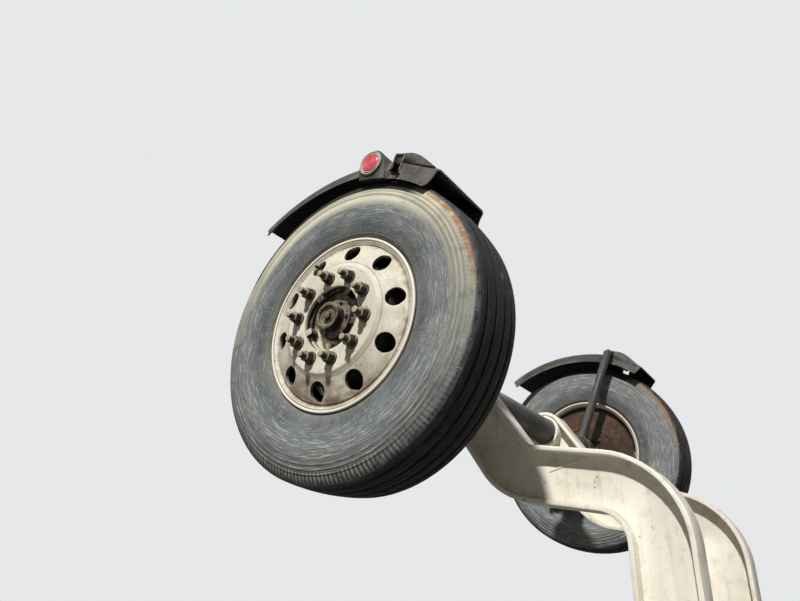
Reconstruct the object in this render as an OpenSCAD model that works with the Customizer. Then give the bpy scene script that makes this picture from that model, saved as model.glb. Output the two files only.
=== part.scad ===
// Raised trailing axle of a concrete mixer truck: a frame-hung swing frame with two road wheels.
// +X points to the truck's front, +Y to its left, +Z up. The origin is the middle of the face
// that bolts to the tail of the truck's frame. Like pieces of both sides share one module.

/* [Layout] */
// Distance between the middles of the two tyres
track = 2160; // [2000:10:2300]
// Distance of the pivot pins behind the mounting face
pivot_back = 200; // [190:1:260]
// Height of the wheels' axis above the pivots, with the axle raised
wheel_up = 1500; // [1350:5:1650]
// Distance of the wheels' axis behind the pivots, with the axle raised
wheel_back = 727; // [680:1:800]

/* [Tyre] */
// Outside diameter of the tyre
tyre_d = 1044; // [1000:1:1060]
// Width of the tyre at the widest point of its sidewalls
tyre_w = 280; // [262:1:300]
// Width of the tread
tread_w = 214; // [196:1:224]
// Depth of the tread grooves
groove_depth = 11; // [3:0.5:14]
// Width of a tread groove
groove_w = 11; // [6:0.5:14]

/* [Rim and disc] */
// Diameter of the bead seat
seat_d = 571.5; // [560:0.5:580]
// Width between the rim's flanges
rim_w = 209.6; // [200:0.1:222]
// Height of a rim flange above the bead seat
flange_h = 12.7; // [10:0.1:16]
// Thickness of a rim flange, across the wheel
flange_t = 13; // [9:0.5:16]
// Thickness of the rim's steel
rim_t = 6.5; // [5:0.5:9]
// Thickness of the disc's steel
disc_t = 11; // [9:0.5:14]
// How far the disc's bolting face stands outboard of the rim flange
disc_out = 34; // [20:1:50]
// Diameter of the hand holes
hand_hole_d = 66; // [40:1:72]
// Radius of the circle of hand holes
hand_hole_r = 236; // [230:1:240]
// Number of hand holes
hand_holes = 10; // [5:1:10]

/* [Hub and studs] */
// Number of wheel studs
stud_count = 10; // [6:1:10]
// Diameter of the circle of studs
stud_pcd = 285.75; // [270:0.25:300]
// Diameter of a stud
stud_d = 22; // [18:1:24]
// Diameter of the disc's centre bore
pilot_d = 220; // [200:1:230]
// Width of a wheel nut across its flats
nut_af = 33; // [28:1:36]
// Height of a wheel nut above its flange
nut_h = 24; // [16:1:30]
// Length of stud that shows past the nut
stud_show = 23; // [8:1:40]
// Outside diameter of the hub's oil cap
cap_d = 92; // [80:1:110]
// Outside diameter of the brake drum
drum_d = 424; // [380:1:440]

/* [Axle and swing frame] */
// Outside diameter of the axle beam
beam_d = 127; // [100:1:140]
// Wall of the axle beam
beam_wall = 16; // [8:1:20]
// Distance from the truck's middle to each arm's web
arm_y = 445; // [430:5:520]
// Depth of an arm over its flanges
arm_depth = 195; // [180:1:210]
// Width of an arm's flanges
arm_flange_w = 110; // [80:1:116]
// Thickness of an arm's flanges
arm_flange_t = 16; // [8:1:22]
// Thickness of an arm's web
arm_web_t = 14; // [8:1:24]
// Diameter of the cross tube that joins the arms
cross_tube_d = 150; // [100:1:170]
// Height of the cross tube above the pivots
cross_tube_up = 380; // [300:5:450]
// Diameter of a pivot pin
pin_d = 63; // [50:1:75]
// Diameter of the hole in a lift lever's eye
lift_eye_d = 38.4; // [30:0.1:45]
// Distance from the pivot to a lift lever's eye
lift_reach = 230; // [200:1:260]

/* [Hanger] */
// Length of the mounting plate, across the truck
plate_w = 864; // [800:1:900]
// Height of the mounting plate
plate_h = 220; // [200:1:260]
// Thickness of the mounting plate
plate_t = 16; // [12:1:25]
// Distance between the mounting bolts across the truck
bolt_dy = 700; // [600:1:760]
// Distance between the mounting bolts, upright
bolt_dz = 160; // [150:1:180]
// Diameter of a mounting bolt hole
bolt_hole_d = 21; // [17:0.5:26]

/* [Mudguard] */
// Gap between the tyre's tread and the mudguard's crown
guard_gap = 63; // [55:1:95]
// Radius of its flatter rear part
guard_rear_r = 744; // [700:2:800]
// Width of the mudguard
guard_w = 340; // [325:1:350]
// Thickness of the moulded shell
guard_t = 5; // [3:0.5:8]
// Height of the outboard skirt over the front part
skirt_h = 82; // [70:1:86]
// Height of the other skirts
low_skirt_h = 57; // [50:1:60]
// Diameter of the marker lamp's lens
lens_d = 66; // [56:1:70]

/* [Hidden] */

// Clearances: a seat is a fit that stays put, a running fit turns
seat_gap = 0.3;
run_gap = 0.05;

// Colours
rim_paint = "#ddd5c0";
arm_paint = "#cfc6ae";
tread_black = "#2a2a2b";
bare_iron = "#4a4239";
moulded_black = "#1d1d1e";

// Wheel stations, measured outboard from the tyre's middle plane
seat_w = rim_w / 2;
rim_face = seat_w + flange_t;
disc_face = rim_face + disc_out;
disc_back = disc_face - disc_t;
drum_web_t = 10;
drum_back = disc_back - drum_web_t;
hub_flange_t = 18;
nut_flange_t = 5.6;
nut_flange_d = 46;
stud_tip = disc_face + nut_flange_t + nut_h + stud_show;
beam_end = -90;
plate_w0 = -75;
brake_plate_r = 248;
drum_mouth = -62;
seat_r = seat_d / 2;
well_r = seat_r - 30;
land_r = seat_r - 19.5;
plateau_r = 178;
hand_angle = 78.3;
stud_angle = 98;

// Hub: a barrel with a flange, and a pit between the flange and the nose that carries the oil cap
hub_r = 78;
hub_end = -55;
hub_flange_r = 168;
hub_nose_r = 66;
pit_r = 102;
pit_floor = drum_back - hub_flange_t + 2;
cap_seat = drum_back + 1;
cap_top = disc_face + 20;
pad_count = 5;
pad_angle = 54;
pad_w = 22;
// The pilot pads' corners reach into the bores of the disc and the drum, less the seat's gap
pad_reach = sqrt(pow(pilot_d / 2 - seat_gap, 2) - pow(pad_w / 2, 2));
tyre_r = tyre_d / 2;

// Swing frame: its centre line, in X and Z about the wheel's axis
elbow = [253, -369];
neck = [wheel_back, -444];
arm_line = [[0, 0], elbow, neck, [wheel_back, -wheel_up]];
arm_bends = [0, 155, 197, 0];
bend_steps = 12;
boss_len = arm_flange_w + 10;
boss_d = 130;
cheek_gap = 3;
cheek_t = 20;
cheek_r = 65;
lift_angle = 235;
lift_t = 32;

// Hanger: a box beam behind the mounting plate
box_h = 100;
box_back = 90;
box_wall = 10;
box_len = 2 * (arm_y + boss_len / 2 + cheek_gap + cheek_t + 15);

// Mudguard: two arcs that meet at the tunnel for the stay; angles are from +X towards +Z
guard_r = tyre_r + guard_gap;
guard_front = 49.3;
guard_rear = 121;
rear_tilt = 3.2;
// The two arcs stop short of each other by this angle each, inside the tunnel
join_gap = 1.2;
guard_out = rim_face + 30;
guard_in = guard_out - guard_w;
lip_r = guard_r - skirt_h;
tunnel_angle = 67.8;
tunnel_w = 38;
tunnel_wall = 6;
tunnel_h = 25;
mouth_r = lip_r + 30;
// Crest of the hump in front of the tunnel: angle about the wheel, height above the crown
hump_crest = [[66, 25], [65, 26.8], [63.6, 27.8], [62.2, 27.2], [60.8, 25], [59.4, 22],
    [58, 18.4], [56.6, 14.2], [55.2, 9.8], [53.8, 5.4], [52.4, 1.6], [51.2, -1]];
hump_out = guard_out - 18.8;
hump_in = guard_in + 18.8;
stay_d = 32;
stay_r = guard_r + tunnel_h - tunnel_wall - stay_d / 2 - seat_gap;
collar_len = 50;
collar_t = 14;
post_d = 46;
post_w = guard_in - collar_len / 2 - 2;
pod_pos = [121, 551];
pod_r = 53;
pod_face = guard_out + 4;
pod_wall = 24;
pod_depth = 58;
bezel_d = 94;
bezel_h = 10;

// Brake gear, about the axle beam
cam_pos = [-19, -108];
cam_d = 38;
slack_w = post_w - 81;
slack_len = 150;
slack_angle = 190;
slack_t = 26;
slack_hub_r = 36;
slack_eye_r = 16;
chamber_d = 150;
clamp_h = 7;
clamp_w = 16;
// Distances along the push rod from the slack adjuster's eye
bracket_at = 78;
bracket_t = 12;
nose_at = 89;
case_at = 129;
clamp_at = 149;
case_end = 205;
rod_d = 16;
bracket_w = 100;
bracket_reach = [-140, 60];

fn_big = 96;
fn_small = 48;

function unit(v) = v / norm(v);
function left_of(v) = [-v.y, v.x];
function polar(r, a) = [r * cos(a), r * sin(a)];
function heading(v) = atan2(v.y, v.x);
function turned(points) = [for (i = [len(points) - 1 : -1 : 0]) points[i]];
function around(centre, r, from, turn, steps) =
    [for (i = [0 : steps]) centre + polar(r, from + turn * i / steps)];

// Puts what is drawn for the right-hand side on either side of the truck
module on_side(side) {
    if (side == "left") mirror([0, 1, 0]) children();
    else children();
}

// The right-hand wheel's own frame: x forward, y up, z outboard from the tyre's middle plane
module at_wheel() {
    translate([-pivot_back - wheel_back, -track / 2, wheel_up]) rotate([90, 0, 0]) children();
}

// The same frame moved to the pivot and to the right-hand arm's web
module at_pivot() {
    translate([-pivot_back, -arm_y, 0]) rotate([90, 0, 0]) children();
}

// Draws a plate outline at the given outboard station, as thick as t and centred there
module plate(w, t) {
    translate([0, 0, w]) linear_extrude(t, center = true) children();
}

module ring(r_out, r_in, w0, w1, fn = fn_big) {
    translate([0, 0, w0]) difference() {
        cylinder(h = w1 - w0, r = r_out, $fn = fn);
        translate([0, 0, -1]) cylinder(h = w1 - w0 + 2, r = r_in, $fn = fn);
    }
}

module rod(r, w0, w1, fn = fn_small) {
    translate([0, 0, w0]) cylinder(h = w1 - w0, r = r, $fn = fn);
}

// Hanger

module hanger_beam() color(arm_paint) {
    difference() {
        translate([-plate_t, -plate_w / 2, -plate_h / 2]) cube([plate_t, plate_w, plate_h]);
        for (y = [-1, 1], z = [-1, 1])
            translate([-plate_t - 1, y * bolt_dy / 2, z * bolt_dz / 2])
                rotate([0, 90, 0]) cylinder(h = plate_t + 2, d = bolt_hole_d, $fn = fn_small);
    }
    difference() {
        translate([-box_back, -box_len / 2, -box_h / 2]) cube([box_back - plate_t, box_len, box_h]);
        translate([-box_back + box_wall, -box_len / 2 - 1, -box_h / 2 + box_wall])
            cube([box_back - plate_t - 2 * box_wall, box_len + 2, box_h - 2 * box_wall]);
    }
}

module hanger_cheeks(side) color(arm_paint) on_side(side) at_pivot()
    for (s = [-1, 1])
        plate(s * (boss_len / 2 + cheek_gap + cheek_t / 2), cheek_t) difference() {
            union() {
                circle(r = cheek_r, $fn = fn_big);
                translate([0, -cheek_r]) square([pivot_back - box_back, 2 * cheek_r]);
            }
            circle(d = pin_d + 2 * run_gap, $fn = fn_small);
        }

module pivot_pin(side) color(bare_iron) on_side(side) at_pivot() {
    reach = boss_len / 2 + cheek_gap + cheek_t;
    rod(pin_d / 2, -reach - 8, reach + 1);
    rod(pin_d / 2 + 12, reach + seat_gap, reach + 14);
    ring(pin_d / 2 + 10, pin_d / 2 - 2, -reach - 8, -reach - seat_gap, fn_small);
}

// Swing frame

// Outline that runs round the arm's centre line at the distance off, with rounded bends and ends
module arm_outline(off) {
    last = len(arm_line) - 1;
    function run(i) = unit(arm_line[i + 1] - arm_line[i]);
    function turn(i) = let (a = run(i - 1), b = run(i)) atan2(a.x * b.y - a.y * b.x, a * b);
    function side(i) = sign(turn(i)) * left_of(run(i - 1));
    function centre(i) =
        arm_line[i] - arm_bends[i] * tan(abs(turn(i)) / 2) * run(i - 1) + arm_bends[i] * side(i);
    function bend(i, off) =
        around(centre(i), arm_bends[i] - sign(turn(i)) * off, heading(-side(i)), turn(i), bend_steps);
    polygon(concat(
        [for (i = [1 : last - 1]) each bend(i, off)],
        around(arm_line[last], off, heading(run(last - 1)) + 90, -180, 2 * bend_steps),
        [for (i = [last - 1 : -1 : 1]) each turned(bend(i, -off))],
        around(arm_line[0], off, heading(run(0)) - 90, -180, 2 * bend_steps)
    ));
}

// Swan neck of I section, with a flange all round its web
module arm(side) color(arm_paint) on_side(side) at_pivot() translate([-wheel_back, wheel_up]) {
    half = arm_depth / 2;
    foot = arm_line[3];
    difference() {
        union() {
            linear_extrude(arm_web_t, center = true) arm_outline(half - arm_flange_t / 2);
            linear_extrude(arm_flange_w, center = true) difference() {
                arm_outline(half);
                arm_outline(half - arm_flange_t);
            }
            rod(beam_d / 2 + 14, -boss_len / 2, boss_len / 2, fn_big);
            translate(foot) rod(boss_d / 2, -boss_len / 2, boss_len / 2, fn_big);
        }
        rod(beam_d / 2 + seat_gap, -boss_len, boss_len, fn_big);
        translate(foot) rod(pin_d / 2 + run_gap, -boss_len, boss_len);
    }
}

module cross_tube() color(arm_paint)
    translate([-pivot_back, 0, cross_tube_up]) rotate([90, 0, 0]) {
        reach = arm_y - arm_web_t / 2;
        ring(cross_tube_d / 2, cross_tube_d / 2 - 12, -reach, reach);
    }

module lift_lever(side) color(arm_paint) on_side(side) at_pivot()
    difference() {
        eye = polar(lift_reach, lift_angle);
        eye_r = lift_eye_d / 2 + 22;
        n = left_of(unit(eye));
        linear_extrude(lift_t, center = true) {
            translate(eye) circle(r = eye_r, $fn = fn_small);
            polygon([-55 * n, eye - eye_r * n, eye + eye_r * n, 55 * n]);
        }
        rod(arm_depth / 2 + seat_gap, -lift_t, lift_t, fn_big);
        translate(eye) rod(lift_eye_d / 2, -lift_t, lift_t);
    }

module axle_beam() color(bare_iron)
    translate([-pivot_back - wheel_back, 0, wheel_up]) rotate([90, 0, 0]) {
        reach = track / 2 + beam_end;
        ring(beam_d / 2, beam_d / 2 - beam_wall, -reach, reach);
    }

// Spindle table: radius, and the outboard stations between which it runs
spindle_steps = [
    // r, from, to
    [beam_d / 2 + 10, beam_end, beam_end + 12],
    [48, beam_end + 12, 40],
    [38, 40, disc_back - 12]
];

module spindle(side) color(bare_iron) on_side(side) at_wheel()
    for (s = spindle_steps) rod(s[0], s[1] - (s[1] == beam_end ? 0 : 1), s[2], fn_big);

module brake_plate(side) color(bare_iron) on_side(side) at_wheel()
    ring(brake_plate_r, beam_d / 2 + 10 + seat_gap, plate_w0 - 5, plate_w0);

module slack_adjuster(side) color(bare_iron) on_side(side) at_wheel() {
    tip = cam_pos + polar(slack_len, slack_angle);
    n = left_of(unit(tip - cam_pos));
    translate(cam_pos) rod(cam_d / 2, slack_w - 20, plate_w0 - 5 - seat_gap);
    plate(slack_w, slack_t) {
        translate(cam_pos) circle(r = slack_hub_r, $fn = fn_small);
        translate(tip) circle(r = slack_eye_r, $fn = fn_small);
        polygon([
            cam_pos - (slack_hub_r - 6) * n, tip - (slack_eye_r - 1) * n,
            tip + (slack_eye_r - 1) * n, cam_pos + (slack_hub_r - 6) * n
        ]);
    }
}

// Air chamber on a plate that is welded to the beam
module brake_chamber(side) color(bare_iron) on_side(side) at_wheel() {
    tip = cam_pos + polar(slack_len, slack_angle);
    way = slack_angle - 90;
    difference() {
        translate(tip) rotate([0, 0, way]) {
            translate([bracket_at, bracket_reach[0], slack_w - bracket_w / 2])
                cube([bracket_t, bracket_reach[1] - bracket_reach[0], bracket_w]);
            translate([0, 0, slack_w]) rotate([0, 90, 0]) {
                rod(chamber_d / 2 - 12, nose_at, case_at + 1, fn_big);
                rod(chamber_d / 2, case_at, case_end, fn_big);
                rod(chamber_d / 2 + clamp_h, clamp_at, clamp_at + clamp_w, fn_big);
                rod(rod_d / 2, slack_eye_r + seat_gap, nose_at + 10);
            }
        }
        rod(beam_d / 2 + seat_gap, slack_w - 60, slack_w + 60, fn_big);
    }
}

// Wheel

groove_places = [-73, -26, 26, 73];

module tyre(side) color(tread_black) on_side(side) at_wheel()
    rotate_extrude($fn = fn_small) difference() {
        tyre_outline();
        for (w = groove_places)
            translate([tyre_r - groove_depth - 3, w - groove_w / 2]) square([groove_depth + 10, groove_w]);
    }

// Outline of the casing: out along the cavity, round the beads and over the tread
module tyre_outline() {
    half = tyre_w / 2;
    bead = seat_w - seat_gap;
    widest_r = (tyre_r + seat_r) / 2 + 6;
    // radius, station; the other half is its mirror image
    cavity = [[tyre_r - 25, 0], [tyre_r - 30, tread_w / 2 - 16], [tyre_r - 62, half - 22],
        [widest_r, half - 13], [seat_r + 50, half - 26], [seat_r + 12, seat_w - 16],
        [seat_r - 5.6, seat_w - 24], [seat_r + seat_gap, bead - 2.3]];
    outside = [[seat_r + 2.6, bead], [seat_r + flange_h + 2, bead], [seat_r + flange_h + 14, rim_face + 1],
        [seat_r + 62, half - 7], [widest_r, half], [tyre_r - 54, half - 5],
        [tyre_r - 19, tread_w / 2 + 13], [tyre_r - 7, tread_w / 2], [tyre_r - 3, tread_w / 3],
        [tyre_r, 0]];
    upper = concat(cavity, outside);
    lower = [for (i = [len(upper) - 2 : -1 : 1]) [upper[i].x, -upper[i].y]];
    polygon(concat(upper, lower));
}

module rim(side) color(rim_paint) on_side(side) at_wheel()
    rotate_extrude($fn = fn_big) {
        lip = seat_r + flange_h;
        well = well_r;
        land = land_r;
        polygon([
            [lip, rim_face - 2], [lip, seat_w + 4], [lip - 6, seat_w], [seat_r + 2, seat_w],
            [seat_r, seat_w - 2], [land + rim_t, 60], [land + rim_t, 48], [well, 34], [well, -14],
            [land + rim_t, -60], [seat_r, -seat_w + 2], [seat_r + 2, -seat_w], [lip - 6, -seat_w],
            [lip, -seat_w - 4], [lip, -rim_face + 2], [lip - 6, -rim_face], [seat_r - rim_t, -seat_w],
            [land, -62], [well - rim_t, -16], [well - rim_t, 38], [land, 50], [land, 66],
            [seat_r - rim_t, seat_w], [lip - 8, rim_face]
        ]);
    }

// Clearance holes for the studs between two stations
module stud_holes(w0, w1)
    at_studs() translate([0, 0, w0 - 1]) cylinder(h = w1 - w0 + 2, d = stud_d + 2, $fn = fn_small);

module at_studs()
    for (i = [0 : stud_count - 1])
        rotate([0, 0, stud_angle + i * 360 / stud_count]) translate([stud_pcd / 2, 0, 0]) children();

module at_hand_holes(places = [0 : hand_holes - 1])
    for (i = places)
        rotate([0, 0, hand_angle + i * 360 / hand_holes]) translate([hand_hole_r, 0, 0]) children();

module disc(side) color(rim_paint) on_side(side) at_wheel()
    difference() {
        rotate_extrude($fn = fn_big) {
            skirt = land_r - seat_gap;
            face = disc_face;
            polygon([
                [pilot_d / 2, face], [plateau_r, face], [plateau_r + 12, face - 3],
                [plateau_r + 22, face - 10], [hand_hole_r, face - 21], [skirt - 8, face - 30],
                [skirt, face - 40], [skirt, 54], [skirt - disc_t, 54], [skirt - disc_t, face - 42],
                [hand_hole_r, face - 21 - disc_t], [plateau_r + 18, face - 10 - disc_t],
                [plateau_r - 2, disc_back], [pilot_d / 2, disc_back]
            ]);
        }
        at_hand_holes() translate([0, 0, 60]) cylinder(h = disc_face, d = hand_hole_d, $fn = fn_small);
        stud_holes(disc_back, disc_face);
    }

module hub(side) color(bare_iron) on_side(side) at_wheel()
    difference() {
        union() {
            rotate_extrude($fn = fn_big) {
                neck_r = pit_r + 6;
                flange_w = drum_back - hub_flange_t;
                outer_r = spindle_steps[1][0] + run_gap;
                inner_r = spindle_steps[2][0] + run_gap;
                shoulder = spindle_steps[1][2] + 1;
                polygon([
                    [outer_r, hub_end], [hub_r, hub_end], [hub_r, flange_w - 50], [neck_r, flange_w - 30],
                    [neck_r, flange_w], [hub_flange_r, flange_w], [hub_flange_r, drum_back],
                    [pit_r, drum_back], [pit_r, pit_floor], [hub_nose_r, pit_floor],
                    [hub_nose_r, cap_seat], [inner_r, cap_seat], [inner_r, shoulder], [outer_r, shoulder]
                ]);
            }
            for (i = [0 : pad_count - 1]) rotate([0, 0, pad_angle + i * 360 / pad_count])
                translate([pit_r - 16, -pad_w / 2, pit_floor - 1])
                    cube([pad_reach - pit_r + 16, pad_w, disc_face - 2 - pit_floor + 1]);
        }
        at_studs() rod(stud_d / 2 + run_gap, drum_back - 2 * hub_flange_t, disc_face);
    }

module hub_cap(side) color(bare_iron) on_side(side) at_wheel() {
    rod(hub_nose_r, cap_seat, cap_seat + 6, fn_big);
    rod(cap_d / 2 - 2, cap_seat + 5, cap_top - 8, fn_big);
    ring(cap_d / 2, cap_d / 2 - 13, cap_top - 12, cap_top);
    rod(14, cap_top - 9, cap_top + 2, 6);
}

module brake_drum(side) color(bare_iron) on_side(side) at_wheel()
    difference() {
        rotate_extrude($fn = fn_big) {
            r_out = drum_d / 2;
            bell = hub_flange_r + 3;
            polygon([
                [r_out - 14, drum_mouth], [r_out, drum_mouth], [r_out, drum_back - 14],
                [bell + 15, drum_back - 10], [bell + 15, drum_back - 2], [bell, disc_back],
                [pilot_d / 2, disc_back], [pilot_d / 2, drum_back], [bell, drum_back],
                [bell, drum_back - 26], [r_out - 14, drum_back - 30]
            ]);
        }
        stud_holes(drum_back, disc_back);
    }

// Studs with their heads behind the hub's flange, and flanged nuts
module studs(side) color(bare_iron) on_side(side) at_wheel()
    at_studs() {
        rod(stud_d / 2, drum_back - hub_flange_t - 8, stud_tip, 24);
        rod(stud_d / 2 + 5, drum_back - hub_flange_t - 9, drum_back - hub_flange_t - seat_gap, 24);
        rod(nut_flange_d / 2, disc_face, disc_face + nut_flange_t, 24);
        rod(nut_af / 2 / cos(30), disc_face + nut_flange_t - 1, disc_face + nut_flange_t + nut_h, 6);
    }

// Stem from the rim's well, bent outboard through a hand hole
module valve(side) color(bare_iron) on_side(side) at_wheel() at_hand_holes([1]) {
    rod(4, 16, disc_face - 4, 24);
    translate([-4, 0, 20]) rotate([0, 90, 0]) rod(6, 0, well_r - rim_t - hand_hole_r + 4 - seat_gap, 24);
}

// Mudguard

module guard_bracket(side) color(moulded_black) on_side(side) at_wheel() {
    collar_r = beam_d / 2 + collar_t;
    ring(collar_r, beam_d / 2 + seat_gap, post_w - collar_len / 2, post_w + collar_len / 2);
    rotate([0, 0, tunnel_angle]) {
        translate([collar_r - 6, 0, post_w]) rotate([0, 90, 0])
            cylinder(h = stay_r - collar_r + 6, d = post_d, $fn = fn_small);
        translate([stay_r, 0, 0]) rod(stay_d / 2, post_w, guard_out - 24);
    }
}

// Skirt below a crown of radius r, from its flared lip up: radius, distance in from the lip
function skirt_line(r, h, t = 0) = [
    [r - h, t], [r - h + 6, 6 + t], [r - h + 14, 11 + t], [r - h + 23, 15 + t], [r - h + 33, 18 + t],
    [r - 9 - t / 2, 21 + t], [r - 3 - t, 26 + t], [r - t, 36 + t / 2]
];

// Cross-section of the shell over its full width, with an outboard skirt of height h
module shell_section(r, h) {
    function outboard(t) = [for (p = skirt_line(r, h, t)) [p.x, guard_out - p.y]];
    function inboard(t) = [for (p = skirt_line(r, low_skirt_h, t)) [p.x, guard_in + p.y]];
    polygon(concat(outboard(0), turned(inboard(0)), inboard(guard_t), turned(outboard(guard_t))));
}

// Side view of the hump in front of the tunnel, drawn smaller by t, down to the radius foot
module hump_outline(t, foot) {
    last = len(hump_crest) - 1;
    polygon(concat(
        [for (c = hump_crest) polar(guard_r + c[1] - t, c[0])],
        [polar(foot, hump_crest[last][0]), polar(foot, hump_crest[0][0])]
    ));
}

module hump() {
    translate([0, 0, hump_in]) linear_extrude(hump_out - hump_in) hump_outline(0, guard_r - 8);
    rotate([0, 0, tunnel_angle]) translate([guard_r - 8, -tunnel_w / 2 - tunnel_wall, hump_in])
        cube([tunnel_h + 8, tunnel_w + 2 * tunnel_wall, hump_out - hump_in]);
}

// Pod for the marker lamp, and the lip that runs on from it below the tunnel's mouth
module pod() {
    translate([0, 0, pod_face - pod_wall]) linear_extrude(pod_wall) {
        translate(pod_pos) circle(r = pod_r, $fn = fn_small);
        polygon([
            pod_pos - [pod_r, 0], polar(lip_r + 3, 82), polar(lip_r, 75), polar(lip_r, 69),
            pod_pos + [pod_r, 0]
        ]);
    }
    translate([0, 0, pod_face - pod_depth]) linear_extrude(pod_depth - 2) intersection() {
        translate(pod_pos) circle(r = pod_r, $fn = fn_small);
        translate(pod_pos - [pod_r, 0]) square(2 * pod_r);
    }
    translate([0, 0, guard_out - 19]) linear_extrude(18)
        polygon([polar(lip_r, 64), polar(mouth_r - 3, 64), polar(mouth_r - 3, 72), polar(lip_r, 72)]);
}

module mudguard(side) color(moulded_black) on_side(side) at_wheel() {
    rear_start = tunnel_angle + rear_tilt;
    rear_centre = polar(guard_r, tunnel_angle) - polar(guard_rear_r, rear_start);
    difference() {
        union() {
            rotate([0, 0, guard_front])
                rotate_extrude(angle = tunnel_angle - join_gap - guard_front, $fn = fn_big)
                    shell_section(guard_r, skirt_h);
            translate(rear_centre) rotate([0, 0, rear_start + join_gap])
                rotate_extrude(angle = guard_rear - rear_start - join_gap, $fn = fn_big)
                    shell_section(guard_rear_r, low_skirt_h);
            hump();
            pod();
        }
        translate([0, 0, hump_in + guard_t]) linear_extrude(hump_out - hump_in - 2 * guard_t)
            hump_outline(guard_t, guard_r - 12);
        rotate([0, 0, tunnel_angle]) translate([mouth_r, -tunnel_w / 2, guard_in - 1])
            cube([guard_r + tunnel_h - tunnel_wall - mouth_r, tunnel_w, guard_w + 2]);
        translate([pod_pos.x, pod_pos.y, pod_face - 14])
            cylinder(h = 20, d = lens_d + 2 * seat_gap, $fn = fn_small);
    }
}

module lamp_bezel(side) color("#8f8b82") on_side(side) at_wheel()
    translate([pod_pos.x, pod_pos.y, 0])
        ring(bezel_d / 2, lens_d / 2 + seat_gap, pod_face, pod_face + bezel_h, fn_small);

module lamp_lens(side) color("#c2182a") on_side(side) at_wheel()
    translate([pod_pos.x, pod_pos.y, 0]) rod(lens_d / 2, pod_face - 14, pod_face + bezel_h + 2);

// One line for each node
hanger_beam();
hanger_cheeks("right");  // hanger_cheeks_right
hanger_cheeks("left");  // hanger_cheeks_left
pivot_pin("right");  // pivot_pin_right
pivot_pin("left");  // pivot_pin_left
arm("right");  // arm_right
arm("left");  // arm_left
cross_tube();
lift_lever("right");  // lift_lever_right
lift_lever("left");  // lift_lever_left
axle_beam();
spindle("right");  // spindle_right
spindle("left");  // spindle_left
brake_plate("right");  // brake_plate_right
brake_plate("left");  // brake_plate_left
brake_chamber("right");  // brake_chamber_right
brake_chamber("left");  // brake_chamber_left
slack_adjuster("right");  // slack_adjuster_right
slack_adjuster("left");  // slack_adjuster_left
guard_bracket("right");  // guard_bracket_right
guard_bracket("left");  // guard_bracket_left
mudguard("right");  // mudguard_right
mudguard("left");  // mudguard_left
lamp_bezel("right");  // lamp_bezel_right
lamp_bezel("left");  // lamp_bezel_left
lamp_lens("right");  // lamp_lens_right
lamp_lens("left");  // lamp_lens_left
tyre("right");  // tyre_right
tyre("left");  // tyre_left
rim("right");  // rim_right
rim("left");  // rim_left
disc("right");  // disc_right
disc("left");  // disc_left
hub("right");  // hub_right
hub("left");  // hub_left
hub_cap("right");  // hub_cap_right
hub_cap("left");  // hub_cap_left
brake_drum("right");  // brake_drum_right
brake_drum("left");  // brake_drum_left
studs("right");  // studs_right
studs("left");  // studs_left
valve("right");  // valve_right
valve("left");  // valve_left
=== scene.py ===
# Looks of the raised trailing axle of a concrete mixer truck. Everything is in metres: +X is the truck's
# front, +Y its left, +Z up, and the origin is the middle of the face that bolts to the truck's frame.
# Wheels and what surrounds them are drawn in a wheel's own frame, in millimetres, and placed from there.
import math

import bmesh
import bpy
from mathutils import Matrix, Vector


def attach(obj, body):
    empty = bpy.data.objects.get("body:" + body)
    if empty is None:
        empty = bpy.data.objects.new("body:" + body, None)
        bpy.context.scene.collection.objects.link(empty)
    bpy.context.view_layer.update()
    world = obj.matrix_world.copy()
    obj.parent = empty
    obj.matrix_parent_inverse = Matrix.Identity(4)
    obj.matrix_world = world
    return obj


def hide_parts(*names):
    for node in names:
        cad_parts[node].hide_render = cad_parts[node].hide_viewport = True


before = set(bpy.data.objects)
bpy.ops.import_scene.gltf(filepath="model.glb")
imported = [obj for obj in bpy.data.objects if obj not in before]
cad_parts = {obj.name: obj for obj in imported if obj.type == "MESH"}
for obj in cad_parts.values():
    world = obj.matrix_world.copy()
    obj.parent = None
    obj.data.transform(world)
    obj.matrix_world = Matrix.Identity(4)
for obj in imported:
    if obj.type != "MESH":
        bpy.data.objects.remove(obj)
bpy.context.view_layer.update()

# Camera
# It stands below the raised wheel, outboard of it and a little ahead, and looks up at the wheel's face.
# The lens is a phone's wide one, and its image size in pixels is the photograph's.
photo_width = 800
focal_pixels = 621.13
eye = Vector((0.324, -2.542, 0.708))
yaw, pitch, roll = (math.radians(angle) for angle in (36.80, 25.62, 2.67))

lens = bpy.data.cameras.new("camera")
lens.sensor_width = 36
lens.lens = lens.sensor_width * focal_pixels / photo_width
lens.clip_end = 200
camera = bpy.data.objects.new("camera", lens)
camera.matrix_world = (
    Matrix.Translation(eye)
    @ Matrix.Rotation(yaw, 4, "Z")
    @ Matrix.Rotation(math.pi / 2 + pitch, 4, "X")
    @ Matrix.Rotation(roll, 4, "Z")
)
bpy.context.scene.collection.objects.link(camera)
bpy.context.scene.camera = camera

# Studio
# A plain pale floor at the ground that the tyres reach when the axle is lowered, under a pale sky dome.
# The key lamp stands high in front on the right, where the sun stands in the photograph, and a weak, wide
# lamp fills from behind on the left.
ground = -0.865
floor_reach = 40
room_strength = 0.11
# Each lamp's name, its strength, its softness in degrees and where its light comes from
lamps = (("key", 4.1, 3, Vector((0.275, -1.0, 1.0))), ("fill", 0.95, 60, Vector((-0.6, 1.0, 0.5))))


def colour(code):
    """Turns an sRGB hex code into the linear values that a socket takes."""
    parts = [int(code[i : i + 2], 16) / 255 for i in (1, 3, 5)]
    return tuple(c / 12.92 if c <= 0.04045 else ((c + 0.055) / 1.055) ** 2.4 for c in parts) + (1.0,)


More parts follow.
